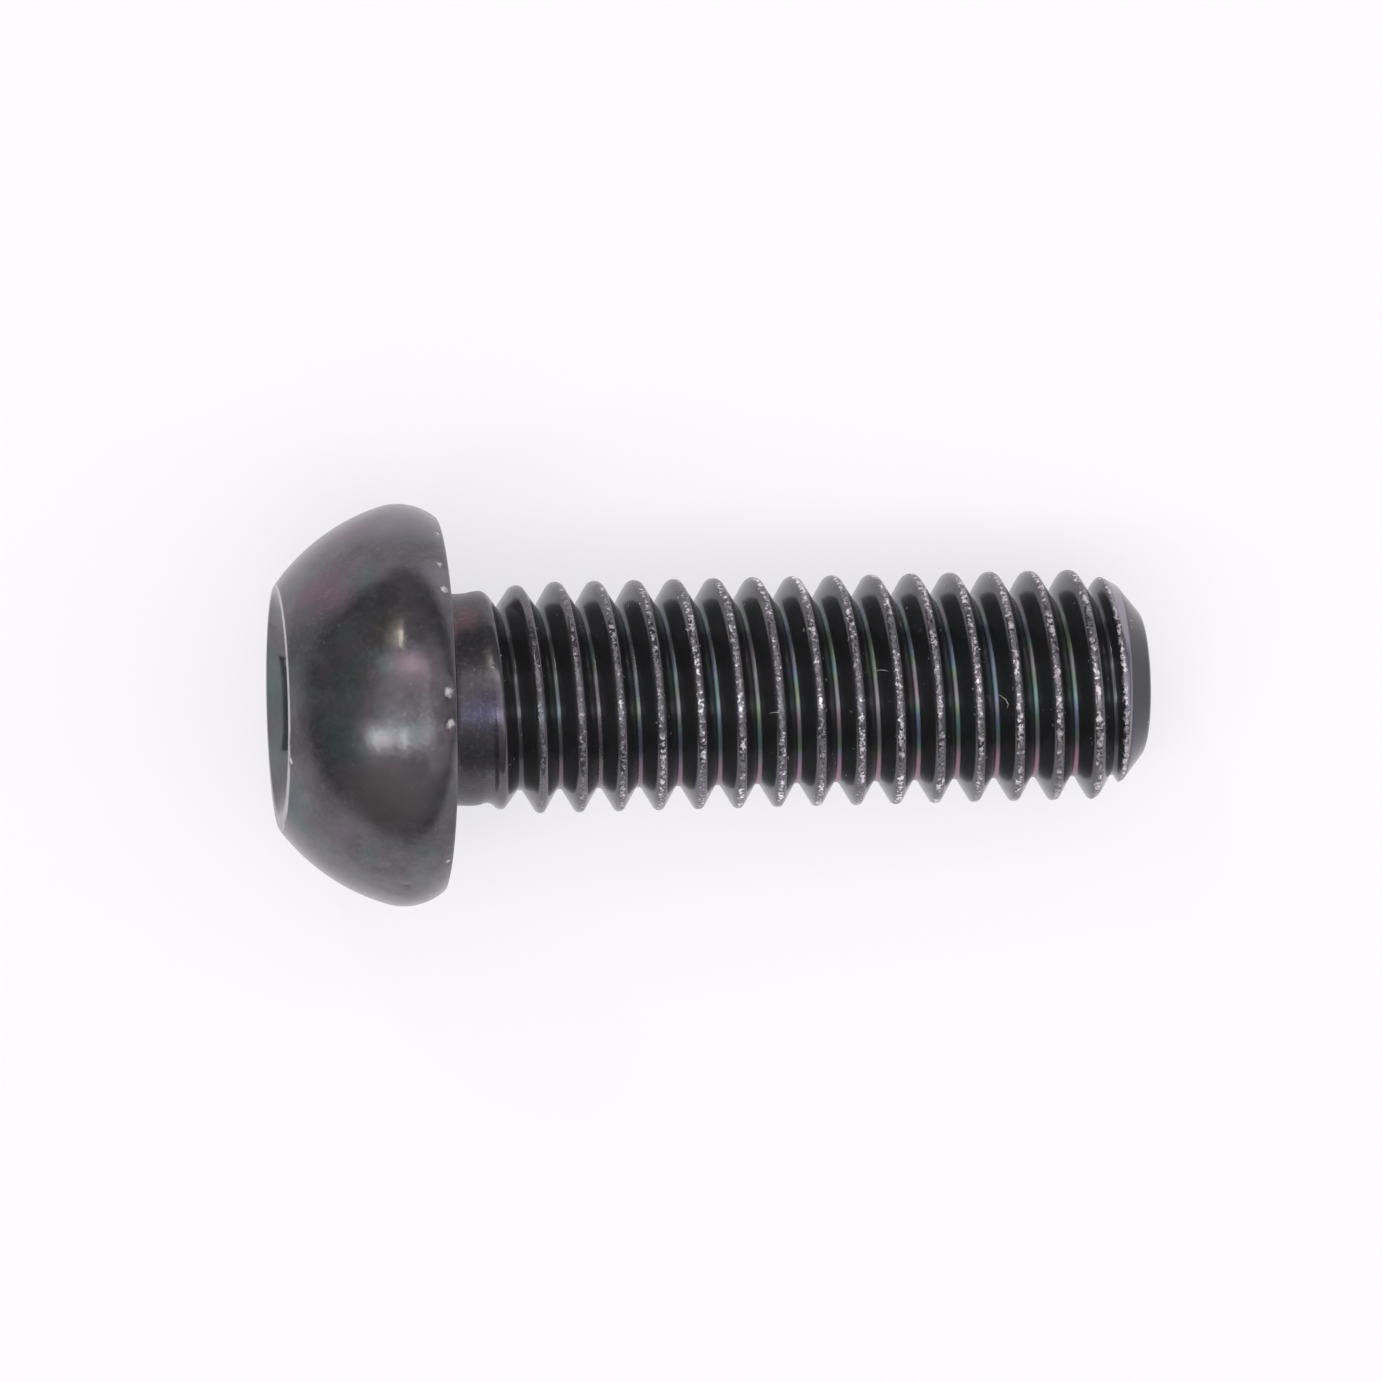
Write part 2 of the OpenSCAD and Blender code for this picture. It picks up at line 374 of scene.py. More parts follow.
    # in millimetres below the crest, and below 0 where the taper has cut into the form
    sums.plug(keep.inputs["Value"], times(drop, 1 / MM))
    move = sums.node("GeometryNodeSetPosition")
    sums.plug(move.inputs["Geometry"], keep.outputs["Geometry"])
    sums.plug(move.inputs["Position"], place_at(take(radius, push)))
    merge = sums.node("GeometryNodeMergeByDistance")
    sums.plug(merge.inputs["Geometry"], move.outputs["Geometry"])
    merge.inputs["Distance"].default_value = MERGE
    real = sums.node("GeometryNodeRealizeInstances")
    sums.plug(real.inputs["Geometry"], merge.outputs["Geometry"])
    paint = sums.node("GeometryNodeSetMaterial")
    sums.plug(paint.inputs["Geometry"], real.outputs["Geometry"])
    paint.inputs["Material"].default_value = material
    sums.plug(sums.node("NodeGroupOutput").inputs[0], paint.outputs["Geometry"])
    return tree


def rolled_thread(settings, material):
    """The thread as a plain mesh, in the shank's own frame: axis along Z, head at Z 0."""
    tree = thread_tree(material)
    seat = bpy.data.objects.new("thread_seat", bpy.data.meshes.new("thread_seat"))
    bpy.context.scene.collection.objects.link(seat)
    roll = seat.modifiers.new("Rolled thread", "NODES")
    roll.node_group = tree
    values = {name: getattr(settings, key) for name, key in INPUTS.items()}
    turns = math.ceil(settings.crest_at / settings.pitch) + 2
    values.update(zip(COUNTS, (settings.columns, settings.rows, turns, SEED)))
    for socket in tree.interface.items_tree:
        if socket.in_out == "INPUT":
            roll[socket.identifier] = values[socket.name]
    seen = seat.evaluated_get(bpy.context.evaluated_depsgraph_get())
    mesh = bpy.data.meshes.new_from_object(seen)
    seat.modifiers.clear()
    bpy.data.objects.remove(seat)
    return mesh


# The turned and headed forms

def angles_round(count):
    return [math.tau * i / count for i in range(count)]


def arc(centre_z, centre_r, radius, start, end, steps):
    """Points (z, r) of an arc; angles in degrees, 0 along +r and 90 along +z."""
    out = []
    for k in range(steps + 1):
        a = math.radians(start + (end - start) * k / steps)
        out.append((centre_z + radius * math.sin(a), centre_r + radius * math.cos(a)))
    return out


def line(start, end, steps):
    """Points (z, r) between two points, without the first."""
    return [(start[0] + (end[0] - start[0]) * k / steps, start[1] + (end[1] - start[1]) * k / steps)
            for k in range(1, steps + 1)]


def hex_reach(angle, flats):
    """Distance from the middle to a hexagon's wall, with a corner at angle 0."""
    sixth = math.pi / 3
    return flats / 2 / math.cos(angle % sixth - sixth / 2)


def head_rings(head, thread, columns):
    """Rings of (x, y, z) from the middle of the socket's bottom out to the neck."""
    angles = angles_round(columns)
    rings = []

    def ring(z, reach, off=0.0):
        rings.append([(off + reach(a) * math.cos(a), reach(a) * math.sin(a), z(a)) for a in angles])

    def level(z, r, off=0.0):
        ring(lambda a: z, lambda a: r, off)

    top = -head.height
    floor_z = top + head.hex_depth
    for share in (0.08, 0.3, 0.6, 0.85, 1.0):
        level(floor_z + head.drill_cone * (1 - share), head.drill_d / 2 * share)
    corner = head.hex_flats / 2 / math.cos(math.pi / 6)
    mouth_r = corner + head.mouth_over
    slope = math.tan(head.mouth_angle / 2)
    # rows this close to an edge keep it crisp
    hair, lip = metres(0.02, 0.004)

    def wall(a):
        return hex_reach(a, head.hex_flats)

    def mouth_z(a):
        return top + (mouth_r - wall(a)) / slope

    ring(lambda a: floor_z, lambda a: wall(a) - hair)
    for share in (0.03, 0.2, 0.4, 0.6, 0.8, 0.97, 1.0):
        ring(lambda a: floor_z + (mouth_z(a) - floor_z) * share, wall)
    for share in (0.5, 0.97):
        ring(lambda a: mouth_z(a) + (top - mouth_z(a)) * share,
             lambda a: wall(a) + (mouth_r - wall(a)) * share)
    level(top, mouth_r + lip)
    # flat top, broken edge, dome, rounded rim
    rim_in = head.diameter / 2 - head.rim_round
    dome_r = head.rim_round + math.hypot(rim_in, head.rim_up + head.dome_drop)
    edge_up = head.height - head.top_edge
    edge_in = math.sqrt((dome_r - head.top_edge) ** 2 - (edge_up + head.dome_drop) ** 2)
    edge_angle = math.degrees(math.atan2(edge_up + head.dome_drop, edge_in))
    rim_angle = math.degrees(math.atan2(head.rim_up + head.dome_drop, rim_in))
    off = -head.off_axis
    for share in (0.3, 0.7, 0.96):
        level(top, mouth_r + (edge_in - mouth_r) * share, off * share)
    for z, r in arc(-edge_up, edge_in, head.top_edge, -90, -edge_angle, steps=5):
        level(z, r, off)
    for z, r in arc(head.dome_drop, 0.0, dome_r, -edge_angle, -rim_angle, steps=30)[1:]:
        level(z, r, off)
    under = math.degrees(math.asin(head.rim_up / head.rim_round))
    for z, r in arc(-head.rim_up, rim_in, head.rim_round, -rim_angle, under, steps=22)[1:]:
        level(z, r, off)
    flat_out = rim_in + math.sqrt(head.rim_round ** 2 - head.rim_up ** 2)
    fillet_out = thread.neck_r + thread.neck_fillet
    for share in (0.03, 0.3, 0.6, 0.85):
        level(0.0, flat_out + (fillet_out - flat_out) * share, off * (1 - share))
    for z, r in arc(thread.neck_fillet, fillet_out, thread.neck_fillet, -90, -180, steps=7):
        level(z, r)
    level(thread.run_in, thread.neck_r)
    return rings, floor_z + head.drill_cone


def tip_rings(thread, columns):
    """Rings from the thread's end over the chamfer to the end face."""
    root_r = thread.crest_r - thread.depth
    chamfer_r = thread.crest_r - (thread.chamfer_at - thread.taper_at) * thread.taper_slope
    start = thread.chamfer_at + (chamfer_r - root_r) / thread.chamfer_slope
    corner_r = root_r - (thread.end_at - start) * thread.chamfer_slope
    angle = math.degrees(math.atan(thread.chamfer_slope))
    back = thread.end_round * math.tan(math.radians(90 - angle) / 2)
    points = [(start, root_r)]
    round_in = (thread.end_at - thread.end_round, corner_r - back)
    # the rounding runs from the chamfer's normal to the end face's
    bend = arc(*round_in, thread.end_round, angle, 90, steps=8)
    points += line(points[0], bend[0], steps=6)
    points += bend[1:]
    innermost = 0.12 * MM
    points += line(bend[-1], (thread.end_at, innermost), steps=7)
    angles = angles_round(columns)
    return [[(r * math.cos(a), r * math.sin(a), z) for a in angles] for z, r in points]


def skin(bm, rings):
    """Faces between rings, one after the other."""
    made = [[bm.verts.new(p) for p in ring] for ring in rings]
    for near, far in zip(made, made[1:]):
        count = len(near)
        for i in range(count):
            k = (i + 1) % count
            bm.faces.new((near[i], near[k], far[k], far[i]))
    return made


def shank_to_row():
    """From the shank's own frame to the row's: local X across, Y up, Z along the axis."""
    s, c = math.sin(LIE_TILT), math.cos(LIE_TILT)
    return Matrix(((0, s, c, 0), (1, 0, 0, 0), (0, c, -s, 0), (0, 0, 0, 1)))


# Finish

# noise fields: how fine they are (per metre), how many steps away they are taken, octaves, and
# how strong each octave is against the one before
FIELDS = {
    "wander": (900.0, 1.7, 1.0, 0.6),
    "clouds": (650.0, 0.4, 3.0, 0.6),
    "smoke": (760.0, 9.4, 3.0, 0.6),
    "blotch": (2300.0, 7.7, 4.0, 0.72),
    "magenta": (800.0, 3.1, 2.0, 0.5),
    "teal": (850.0, 8.7, 2.0, 0.5),
    "grain": (8200.0, 5.2, 3.0, 0.7),
    "film": (620.0, 12.3, 1.0, 0.5),
    "ragged": (8200.0, 0.0, 3.0, 0.65),
    "specks": (10500.0, 0.0, 3.0, 0.7),
    "patches": (1700.0, 0.0, 2.0, 0.6),
    "tears": (9000.0, 2.9, 1.0, 0.7),
    # the breaks in the light line painted round the flat top
    "rubbed": (1500.0, 6.6, 2.0, 0.5),
}
FIELD_STEP = (0.05, 0.03, 0.0)  # metres
# how far a field can move a place, in mm, so that a shape gets ragged edges
ASTRAY = {"wander": 1.4, "tears": 0.2}
# spots in a field: where the field has none, and where they are full
SPOTS = {
    "thin clouds": ("clouds", 0.38, 0.72),
    "thick smoke": ("smoke", 0.42, 0.62),
    "light blotches": ("blotch", 0.5, 0.75),
    "dark blotches": ("blotch", 0.5, 0.25),
    "rough blotches": ("blotch", 0.3, 0.7),
    "magenta": ("magenta", 0.52, 0.7),
    "teal": ("teal", 0.52, 0.7),
    "light grain": ("grain", 0.5, 0.72),
    "rough grain": ("grain", 0.3, 0.8),
    "warm": ("patches", 0.42, 0.62),
    # pieces of the light line painted round the flat top
    "rubbed": ("rubbed", 0.25, 0.5),
}
# zones along the shank, in mm from the bearing face: where each is 0, and where it is 1
ZONES = {
    "neck begins": (-0.02, 0.1),
    "neck ends": (1.3, 0.9),
    "thread begins": (0.8, 1.6),
    "thread ends": (17.25, 17.15),
    "film grows": (3.0, 9.0),
    "wear begins": (1.7, 2.6),
    "wear grows": (2.0, 6.5),
    "warm grows": (9.0, 17.0),
    "burr": (16.65, 16.95),
    "dust begins": (0.4, 0.9),
    "dust grows": (0.4, 4.0),
    "taper ends": (17.24, 17.18),
    "chamfer": (17.16, 17.22),
    "head": (0.05, -0.05),
    "flat top": (-3.9, -3.94),
}
# layers of the coating over the oxide: spots, strength, colour
LAYERS = (
    ("thin clouds", 1.0, "oxide_light"),
    ("thick smoke", 0.55, "smoke"),
    ("light blotches", 0.4, "oxide_light"),
    ("dark blotches", 0.6, "smoke"),
    ("magenta", 0.35, "magenta"),
    ("teal", 0.35, "teal"),
)
# tints of the coating: centre in mm, radius in mm, colour, strength
TINTS = (
    ((-0.9, 4.4, 2.2), 1.7, (0.2, 0.19, 0.215), 0.7),
    ((-2.62, 2.67, 3.37), 1.4, (0.18, 0.09, 0.155), 0.6),
    ((-2.05, 4.3, 1.6), 1.2, (0.17, 0.1, 0.15), 0.6),
    ((-0.9, -1.47, 4.88), 0.35, (0.22, 0.1, 0.17), 0.55),
    ((-1.67, 0.47, 4.8), 0.45, (0.19, 0.1, 0.14), 0.7),
    ((-0.3, 0.85, 5.0), 0.7, (0.18, 0.125, 0.14), 0.5),
    ((-2.33, -0.8, 4.48), 0.9, (0.08, 0.145, 0.13), 0.55),
    ((-1.99, 0.6, 4.65), 0.9, (0.085, 0.125, 0.1), 0.6),
    ((-3.29, 1.57, 3.46), 1.5, (0.062, 0.064, 0.066), 0.9),
    ((-1.14, -2.18, 4.56), 1.9, (0.2, 0.185, 0.175), 0.75),
    ((-1.2, 1.9, 4.6), 1.1, (0.085, 0.08, 0.07), 0.6),
    ((-3.52, -2.63, 2.6), 1.0, (0.085, 0.135, 0.13), 0.7),
    ((-4.25, 0.2, -1.2), 2.4, (0.125, 0.165, 0.155), 0.8),
    ((1.15, -0.3, 2.45), 0.95, (0.056, 0.052, 0.095), 0.9),
    ((0.7, 1.9, 1.7), 0.8, (0.16, 0.085, 0.1), 0.8),
)
# how much of each colour goes over what is under it
COVER = {"grain": 0.45, "flank": 0.75, "film": 0.8, "rose": 0.7, "warm": 0.65, "edge": 0.8,
         "pit": 0.5}
# the share of its radius within which each is full
FULL = {"tint": 0.05, "chip": 0.15, "pit": 0.4}
# how much is left of each where it is least
# the film on the far side is dimmed there as painted shade
LEAST = {"film by the head": 0.35, "film on the far side": 0.4, "shine by the head": 0.12,
         "flecks on the flanks": 0.15, "dull fleck": 0.25}
# depths in mm below the crest: where each is 0, and where it is 1
DEPTHS = {"flank": (0.02, 0.1), "film": (0.57, 0.597), "taper cut": (-0.01, -0.05),
          "crowd": (0.3, 0.05)}
# across the screw as it lies, in mm: where each is 0, and where it is 1
SIDES = {"not far": (1.8, 0.9), "near": (-1.4, -1.9)}
# the film's colours, by where they stand on its noise
HUES = ((0.30, "root_pink"), (0.40, "root_grey"), (0.46, "root_green"), (0.52, "root_teal"),
        (0.58, "root_blue"), (0.70, "root_grey"))
# how far bare metal reaches down from the crest, in mm: near the neck, further on, by its jags,
# the last two again for the burr on the last crest, and how soft its edge is
REACH = {"first": 0.002, "grown": 0.014, "jags": 0.19, "burr": 0.075, "burr jags": 0.6,
         "soft": 0.02}
# flecks: a cell whose random number is over this has one, and by how much that sinks where
# they crowd; their least size, and how much chance adds, in cells
FLECKS_PER_M = 6200.0
FLECK_OVER = (0.996, 0.12)
FLECK_SIZE = (0.06, 0.2)
# the fine light line painted round the flat top's edge, in mm from the head's axis: its inner and
# its outer side
TOP_LINE = ((3.0, 3.03), (3.1, 3.07))
METALLIC = 0.85
# roughness of the coating, and how much more each of the others has
ROUGH = {"coating": 0.17, "neck": 0.14, "grain": 0.07, "mottle": 0.07, "crest": 0.2,
         "film": 0.16, "bare": 0.25, "lint": 0.5}
# relief: of the grain, how much more of it on the head, and of the torn crests
RELIEF = {"grain": 0.08, "head": 0.2, "crest": 2.2}
RELIEF_MM = 0.009
# chips and nicks: centre in mm, radius in mm
CHIPS = (
    ((0.4, 0.2, 4.82), 0.19),
    ((0.41, -0.59, 4.79), 0.15),
    ((0.33, 2.74, 3.88), 0.13),
    ((0.21, 3.36, 3.38), 0.1),
    ((0.16, 4.15, 2.22), 0.09),
    ((0.24, -4.01, 2.75), 0.09),
    ((-3.61, -1.41, 3.27), 0.1),
)
PIT = ((-0.84, -4.59, 2.37), 0.13)
PIT_COLOUR = (0.04, 0.04, 0.04)
CHIP_DEEP, PIT_DEEP = 0.035, 0.03  # mm
DENT_WIDER = 1.3  # how much wider a dent is than its bare metal
# fibres caught in the thread, each from point to point: mm along the shank, degrees round it
# from +Y, mm over the thread's surface
FIBRES = (
    ((10.68, 79.0, -0.01), (10.76, 78.4, 0.03), (10.86, 78.8, 0.05), (10.97, 79.9, 0.04),
     (11.02, 80.6, -0.01)),
    ((13.78, 94.6, -0.01), (13.88, 95.6, 0.03), (13.97, 97.4, 0.05), (14.02, 99.8, 0.04),
     (14.01, 102.2, -0.01)),
    ((8.02, 101.8, -0.01), (8.1, 100.6, 0.02), (8.2, 100.0, 0.03), (8.31, 100.2, -0.01)),
)
FIBRE_R = 0.011  # mm
FIBRE_SIDES = 6
FIBRE_END = 0.6  # how thin a fibre is at its ends


class Paint(Sums):
    """Sums for the finish, with its noise fields and the places on the screw."""

    def __init__(self, material):
        super().__init__(material.node_tree)
        self.where = self.node("ShaderNodeTexCoord").outputs["Object"]
        # the shank's own frame, so that Z runs along it
        turn = self.node("ShaderNodeMapping")
        turn.inputs["Rotation"].default_value = (
            shank_to_row().to_3x3().transposed().to_euler("XYZ"))
        self.plug(turn.inputs["Vector"], self.where)
        split = self.node("ShaderNodeSeparateXYZ")
        self.plug(split.inputs[0], turn.outputs[0])
        self.across, self.up = split.outputs[0], split.outputs[1]
        along = self.times(split.outputs[2], 1 / MM)
        self.zone = {name: self.ramp(along, *ends) for name, ends in ZONES.items()}
        self.threaded = self.times(self.zone["thread begins"], self.zone["thread ends"])
        # mm below the crest, and the same with a sign, below 0 where the taper has cut
        self.signed = self.attribute("crest_drop")
        self.drop = self.do("ABSOLUTE", self.signed)
        self.made_fields = {}

    def attribute(self, name):
        return self.node("ShaderNodeAttribute", attribute_name=name).outputs["Fac"]

    def mix(self, factor, a, b):
        made = self.node("ShaderNodeMix", data_type="RGBA")
        self.plug(made.inputs["Factor"], factor)
        for socket, value in zip((i for i in made.inputs if i.type == "RGBA"), (a, b)):
            self.plug(socket, value if isinstance(value, bpy.types.NodeSocket) else (*value, 1.0))
        return next(o for o in made.outputs if o.type == "RGBA")

    def vector(self, operation, a, b):
        made = self.node("ShaderNodeVectorMath", operation=operation)
        self.plug(made.inputs[0], a)
        self.plug(made.inputs[1], b)
        return made.outputs[1 if operation == "DISTANCE" else 0]

    def rising(self, low, share):
        """From low, where the share is 0, up to 1, where it is 1."""
        return self.add(low, self.times(share, 1 - low))

    def near(self, place, centre, radius, full):
        """1 within a share of the radius round a centre given in mm, 0 past the radius."""
        away = self.vector("DISTANCE", place, metres(*centre))
        return self.smooth(away, *metres(radius, radius * full))

    def field(self, name):
        """The noise of that name."""
        if name not in self.made_fields:
            fine, steps, octaves, rough = FIELDS[name]
            spot = self.vector("ADD", self.where, tuple(steps * v for v in FIELD_STEP))
            self.made_fields[name] = self.noise(spot, fine, octaves, rough)
        return self.made_fields[name]

    def spots(self, name):
        field, none, full = SPOTS[name]
        return self.ramp(self.field(field), none, full)

    def astray(self, name):
        """Places moved about by the field of that name."""
        moved = self.vector("SUBTRACT", self.field(name).node.outputs["Color"], (0.5, 0.5, 0.5))
        moved = self.vector("MULTIPLY", moved, metres(*[ASTRAY[name]] * 3))
        return self.vector("ADD", self.where, moved)


def coating(paint, finish):
    """The oxide: clouded and tinted, darker on the neck, with a fine grain."""
    coat = finish.oxide
    for name, strength, tone in LAYERS:
        coat = paint.mix(paint.times(paint.spots(name), strength), coat, getattr(finish, tone))
    neck = paint.times(paint.zone["neck begins"], paint.zone["neck ends"])
    coat = paint.mix(neck, coat, finish.smoke)
    loose = paint.astray("wander")
    for centre, radius, rgb, strength in TINTS:
        spot = paint.near(loose, centre, radius, FULL["tint"])
        coat = paint.mix(paint.times(spot, strength), coat, rgb)
    grain = paint.times(paint.spots("light grain"), COVER["grain"])
    return paint.mix(grain, coat, finish.oxide_light), neck


def groove_film(paint, finish):
    """How strong the film is down in the groove, with painted shade on the far side, and its
    colour.
    """
    times = paint.times
    side = {name: paint.ramp(paint.across, *metres(*ends)) for name, ends in SIDES.items()}
    film = times(paint.smooth(paint.drop, *DEPTHS["film"]), paint.threaded)
    # it is thinner near the head, dimmed round the far side as painted shade, and rose on the near
    # one
    film = times(film, paint.rising(LEAST["film by the head"], paint.zone["film grows"]))
    film = times(film, paint.rising(LEAST["film on the far side"], side["not far"]))
    rosy = times(side["near"], COVER["rose"])
    hues = paint.node("ShaderNodeValToRGB")
    hues.color_ramp.interpolation = "EASE"
    while len(hues.color_ramp.elements) < len(HUES):
        hues.color_ramp.elements.new(0.5)
    for stop, (at, tone) in zip(hues.color_ramp.elements, HUES):
        stop.position = at
        stop.color = (*getattr(finish, tone), 1.0)
    paint.plug(hues.inputs[0], paint.field("film"))
    return film, paint.mix(rosy, hues.outputs[0], finish.root_rose)


def worn_crest(paint, finish):
    """Where the crests are rubbed bare, in jagged bands, and the metal's colour there."""
    add, take, times = paint.add, paint.take, paint.times
    jagged, grown = take(paint.field("ragged"), 0.5), paint.zone["wear grows"]
    reach = add(REACH["first"], times(grown, REACH["grown"]))
    reach = add(reach, times(jagged, REACH["jags"]))
    burr = add(REACH["burr"], times(jagged, REACH["burr jags"]))
    reach = add(reach, times(paint.zone["burr"], burr))
    crest = times(paint.smooth(paint.drop, reach, take(reach, REACH["soft"])), paint.threaded)
    crest = times(crest, paint.zone["wear begins"])
    # bright specks, more of them in some patches than in others
    patches = times(take(paint.field("patches"), 0.5), 0.8)
    shine = paint.ramp(add(paint.field("specks"), patches), 0.49, 0.6)
    shine = times(shine, paint.rising(LEAST["shine by the head"], grown))
    metal = paint.mix(shine, finish.crest_dark, finish.crest_light)
    warm = times(paint.zone["warm grows"], COVER["warm"])
    warm = times(warm, paint.spots("warm"))
    return crest, paint.mix(warm, metal, finish.crest_warm)


def flecks(paint, torn):
    """Splinters of metal on the flanks, thickest beside the crests, and how bright each is."""
    add, take, times = paint.add, paint.take, paint.times
    cells = paint.node("ShaderNodeTexVoronoi", feature="F1")
    paint.plug(cells.inputs["Vector"], torn)
    cells.inputs["Scale"].default_value = FLECKS_PER_M
    pick = paint.node("ShaderNodeSeparateColor")
    paint.plug(pick.inputs[0], cells.outputs["Color"])
    crowd = paint.rising(LEAST["flecks on the flanks"], paint.ramp(paint.drop, *DEPTHS["crowd"]))
    crowd = times(crowd, paint.zone["dust grows"])
    over, less = FLECK_OVER
    chosen = paint.do("GREATER_THAN", pick.outputs[0], take(over, times(crowd, less)))
    least, more = FLECK_SIZE
    size = add(least, times(pick.outputs[1], more))
    fleck = times(paint.do("LESS_THAN", cells.outputs["Distance"], size), chosen)
    bright = paint.rising(LEAST["dull fleck"], pick.outputs[2])
    return times(fleck, paint.zone["dust begins"]), bright


def chips_and_edge(paint, head, torn):
    """Bare metal in the chips, and a fine light line painted along the edge round the flat top."""
    times, ramp = paint.times, paint.ramp
    chip = 0.0
    for centre, radius in CHIPS:
        chip = paint.do("MAXIMUM", chip, paint.near(torn, centre, radius, FULL["chip"]))
    across = paint.add(paint.across, head.off_axis)
    out = paint.do("SQRT", paint.add(times(across, across), times(paint.up, paint.up)))
    out = times(out, 1 / MM)
    # a fine light line painted round the flat top's edge, broken into pieces
    edge = times(ramp(out, *TOP_LINE[0]), ramp(out, *TOP_LINE[1]))
    edge = times(edge, paint.zone["flat top"])
    edge = times(edge, paint.spots("rubbed"))
    return paint.do("MAXIMUM", chip, times(edge, COVER["edge"]))


def black_oxide(finish, head):
    """Worn black oxide: satin grain on the head, bare rough crests, tinted roots, dust."""
    material = bpy.data.materials.new("worn_black_oxide")
    material.use_nodes = True
    shader = material.node_tree.nodes["Principled BSDF"]
    shader.inputs["Metallic"].default_value = METALLIC
    paint = Paint(material)
    mix, add, times, zone = paint.mix, paint.add, paint.times, paint.zone

    body, neck = coating(paint, finish)
    # painted shade: the flanks and roots, below the crest, are painted darker
    flank = times(paint.ramp(paint.drop, *DEPTHS["flank"]), paint.threaded)
    body = mix(times(flank, COVER["flank"]), body, finish.flank)
    film, film_colour = groove_film(paint, finish)
    body = mix(times(film, COVER["film"]), body, film_colour)
    # the last crests, cut by the taper, are rubbed paler, and the chamfer is the darkest
    cut = paint.ramp(paint.signed, *DEPTHS["taper cut"])
    body = mix(times(cut, zone["taper ends"]), body, finish.taper)
    body = mix(zone["chamfer"], body, finish.chamfer)
    crest, metal = worn_crest(paint, finish)
    body = mix(crest, body, metal)
    torn = paint.astray("tears")
    fleck, fleck_bright = flecks(paint, torn)
    body = mix(times(fleck, fleck_bright), body, finish.dust)
    # bare metal in the chips, and the light line painted round the flat top
    bright = chips_and_edge(paint, head, torn)
    body = mix(bright, body, finish.chip)
    body = mix(times(paint.near(torn, *PIT, FULL["pit"]), COVER["pit"]), body, PIT_COLOUR)
    lint = paint.attribute("lint")
    body = mix(lint, body, finish.lint)
    paint.plug(shader.inputs["Base Color"], body)

    mottle = times(paint.spots("rough blotches"), zone["head"])
    rough = ROUGH["coating"]
    for name, where in (("neck", neck), ("grain", paint.spots("rough grain")),
                        ("mottle", mottle), ("crest", crest), ("film", film),
                        ("bare", paint.do("MAXIMUM", fleck, bright)), ("lint", lint)):
        rough = add(rough, times(where, ROUGH[name]))
    paint.plug(shader.inputs["Roughness"], paint.do("MINIMUM", rough, 1.0))

    # relief: grain on the coating, torn metal on the crests
    fine = add(RELIEF["grain"], times(zone["head"], RELIEF["head"]))
    torn_metal = times(times(paint.field("specks"), crest), RELIEF["crest"])
    height = add(times(paint.field("grain"), fine), torn_metal)
    bump = paint.node("ShaderNodeBump")
    bump.inputs["Strength"].default_value = 1.0
    bump.inputs["Distance"].default_value = RELIEF_MM * MM
    paint.plug(bump.inputs["Height"], height)
    paint.plug(shader.inputs["Normal"], bump.outputs[0])
    return material


def thread_r(thread, z, angle):
    """Radius of the full thread at a height and an angle round it, in metres and degrees."""
    share = ((z - thread.crest_at) / thread.pitch - angle / 360 + 0.5) % 1.0
    away = abs(share - 0.5) * thread.pitch
    cut = (away - thread.crest_half) * math.tan(math.radians(60))
    return thread.crest_r - min(max(cut, 0.0), thread.depth)


def add_fibres(bm, thread, layer):
    """Closed threads of lint, as their own shells in the screw's mesh, marked in the layer."""
    for points in FIBRES:
        line_points = []
        for z, angle, over in points:
            r = thread_r(thread, z * MM, angle) + over * MM
            a = math.radians(angle)
            line_points.append(Vector((r * math.cos(a), r * math.sin(a), z * MM)))
        rings = []
        for k, point in enumerate(line_points):
            ahead = line_points[min(k + 1, len(points) - 1)] - line_points[max(k - 1, 0)]
            turn = ahead.to_track_quat("Z", "Y")
            thin = FIBRE_R * MM * (FIBRE_END if k in (0, len(points) - 1) else 1.0)
            rings.append([point + turn @ Vector((thin * math.cos(t), thin * math.sin(t), 0.0))
                          for t in angles_round(FIBRE_SIDES)])
        made = skin(bm, rings)
        bm.faces.new(made[0][::-1])
        bm.faces.new(made[-1])
        for ring in made:
            for vert in ring:
                vert[layer] = 1.0


def dent(normals):
    """Pushes chips, nicks and the pit into the head, by a hair, along the normals given."""
    for (centre, radius), deep in [(chip, CHIP_DEEP) for chip in CHIPS] + [(PIT, PIT_DEEP)]:
        middle = Vector(centre) * MM
        for vert, normal in normals.items():
            away = (vert.co - middle).length / (radius * MM * DENT_WIDER)
            if away < 1:
                vert.co -= normal * deep * MM * (1 - away * away) ** 2


